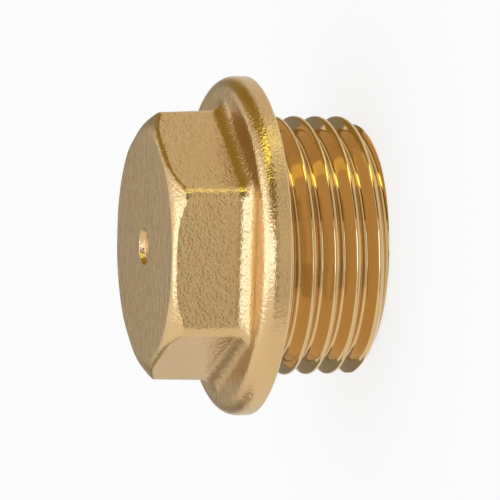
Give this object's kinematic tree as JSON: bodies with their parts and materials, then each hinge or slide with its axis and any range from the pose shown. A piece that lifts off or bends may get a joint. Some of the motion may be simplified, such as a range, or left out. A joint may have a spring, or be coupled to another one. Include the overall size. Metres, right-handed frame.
{
  "type": "flanged blanking plug",
  "caption": "One-piece brass blanking plug: hexagon head on a round flange, over a short parallel pipe thread with a hollow end.",
  "frame": {"origin": "centre of the flange's sealing face, on the plug's axis", "axes": "+Z along the axis towards the hexagon head, +Y square to one flat of the hexagon"},
  "size_m": [0.0273, 0.0272, 0.0176],
  "materials": {
    "brass": "shot-blasted forged skin on the head and flange, bright turned thread"
  },
  "bodies": {
    "root": {"plug": "brass"}
  },
  "joints": []
}
